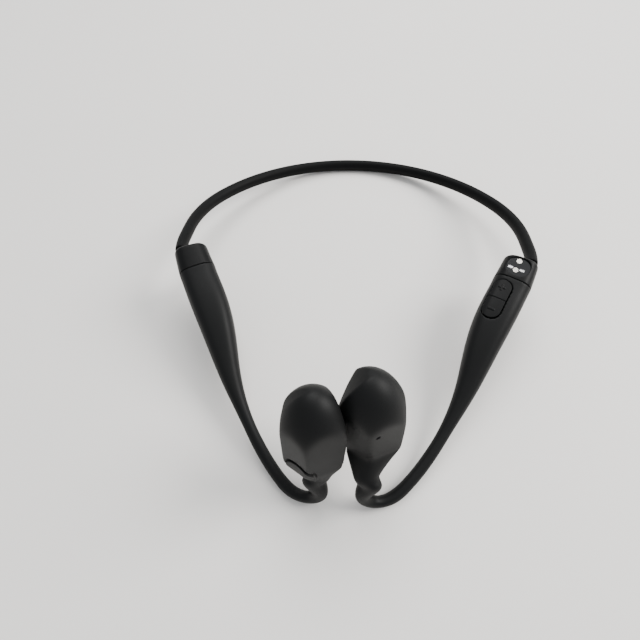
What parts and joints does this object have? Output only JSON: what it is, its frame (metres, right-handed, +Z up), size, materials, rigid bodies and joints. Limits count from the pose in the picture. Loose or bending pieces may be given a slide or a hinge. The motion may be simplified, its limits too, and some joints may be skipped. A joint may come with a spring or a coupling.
{
  "type": "bone conduction headphones",
  "caption": "Open-ear headphones: a sprung neckband joins two pods, whose soft ear hooks end in bone conduction earpieces with flat contact pads.",
  "frame": {"origin": "middle of the bounding box's base, on the table that the headphones lie on upside down", "axes": "+X to the wearer's right, +Y from the earpieces to the neckband's apex, +Z up from the table (down when worn)"},
  "size_m": [0.1404, 0.1624, 0.0499],
  "materials": {
    "cell_foil": "foil",
    "ceramic": "fired",
    "circuit_board": "solder mask",
    "copper": "enamelled wire",
    "driver_plastic": "moulded",
    "gasket": "matte",
    "gloss_black": "polished",
    "gold_contact": "plated",
    "hard_cap": "fine satin texture",
    "housing": "moulded",
    "lead_insulation": "satin",
    "magnet_face": "nickel plated",
    "pad_cover": "matte soft-touch",
    "soft_skin": "matte soft-touch",
    "spring_steel": "rolled",
    "spring_wire": "drawn nickel titanium",
    "switch_body": "moulded",
    "tinned_steel": "tinned"
  },
  "bodies": {
    "right_side": {"neckband_leads": "lead_insulation", "neckband_sleeve": "soft_skin", "neckband_wire": "spring_wire", "right_alignment_magnets": "magnet_face", "right_antenna": "ceramic", "right_arm_skin": "soft_skin", "right_charging_board": "circuit_board", "right_charging_contacts": "gold_contact", "right_charging_insert": "gloss_black", "right_contact_pad": "pad_cover", "right_driver_frame": "driver_plastic", "right_earpiece_cup": "soft_skin", "right_end_cap": "hard_cap", "right_hook_leads": "lead_insulation", "right_hook_wire": "spring_wire", "right_leaf_spring": "spring_steel", "right_main_board": "circuit_board", "right_microphone": "tinned_steel", "right_microphone_gasket": "gasket", "right_pod_lid": "housing", "right_pod_tray": "housing", "right_rocker_bracket": "spring_steel", "right_rocker_pin": "spring_steel", "right_shield_can": "tinned_steel", "right_voice_coil": "copper", "right_volume_down_switch": "switch_body", "right_volume_up_switch": "switch_body"},
    "left_side": {"left_arm_skin": "soft_skin", "left_battery_board": "circuit_board", "left_battery_cell": "cell_foil", "left_button_board": "circuit_board", "left_button_switch": "switch_body", "left_contact_pad": "pad_cover", "left_driver_frame": "driver_plastic", "left_earpiece_cup": "soft_skin", "left_end_cap": "hard_cap", "left_hook_leads": "lead_insulation", "left_hook_wire": "spring_wire", "left_leaf_spring": "spring_steel", "left_pod_lid": "housing", "left_pod_tray": "housing", "left_voice_coil": "copper"},
    "volume_rocker": {"right_volume_rocker": "hard_cap"},
    "multifunction_button": {"left_multifunction_button": "hard_cap"},
    "right_driver_magnet": {"right_yoke": "spring_steel", "right_magnet": "magnet_face", "right_pole_plate": "spring_steel"},
    "left_driver_magnet": {"left_yoke": "spring_steel", "left_magnet": "magnet_face", "left_pole_plate": "spring_steel"}
  },
  "joints": [
    {"name": "band_flex", "type": "hinge", "parent": "right_side", "child": "left_side", "pos_m": [0, 0.07887, 0.00258], "axis": [0, 0, -1], "range_deg": [0, 40], "stiffness_Nm_per_rad": 0.2, "deforming": ["neckband_sleeve", "neckband_wire", "neckband_leads"]},
    {"name": "volume_rocker_tilt", "type": "hinge", "parent": "right_side", "child": "volume_rocker", "pos_m": [0.05298, -0.01029, 0.0227], "axis": [-0.8332, 0.4953, -0.2458], "range_deg": [-2, 2], "stiffness_Nm_per_rad": 0.05},
    {"name": "multifunction_button_press", "type": "slide", "parent": "left_side", "child": "multifunction_button", "axis": [0.5611, 0.8216, -0.1002], "range_m": [0, 0.0003], "stiffness_N_per_m": 450},
    {"name": "right_driver_vibration", "type": "slide", "parent": "right_side", "child": "right_driver_magnet", "axis": [-0.8089, 0.5136, -0.2863], "range_m": [-0.0002, 0.0002], "stiffness_N_per_m": 500, "deforming": ["right_leaf_spring"]},
    {"name": "left_driver_vibration", "type": "slide", "parent": "left_side", "child": "left_driver_magnet", "axis": [0.8218, 0.5345, -0.1974], "range_m": [-0.0002, 0.0002], "stiffness_N_per_m": 500, "deforming": ["left_leaf_spring"]}
  ]
}
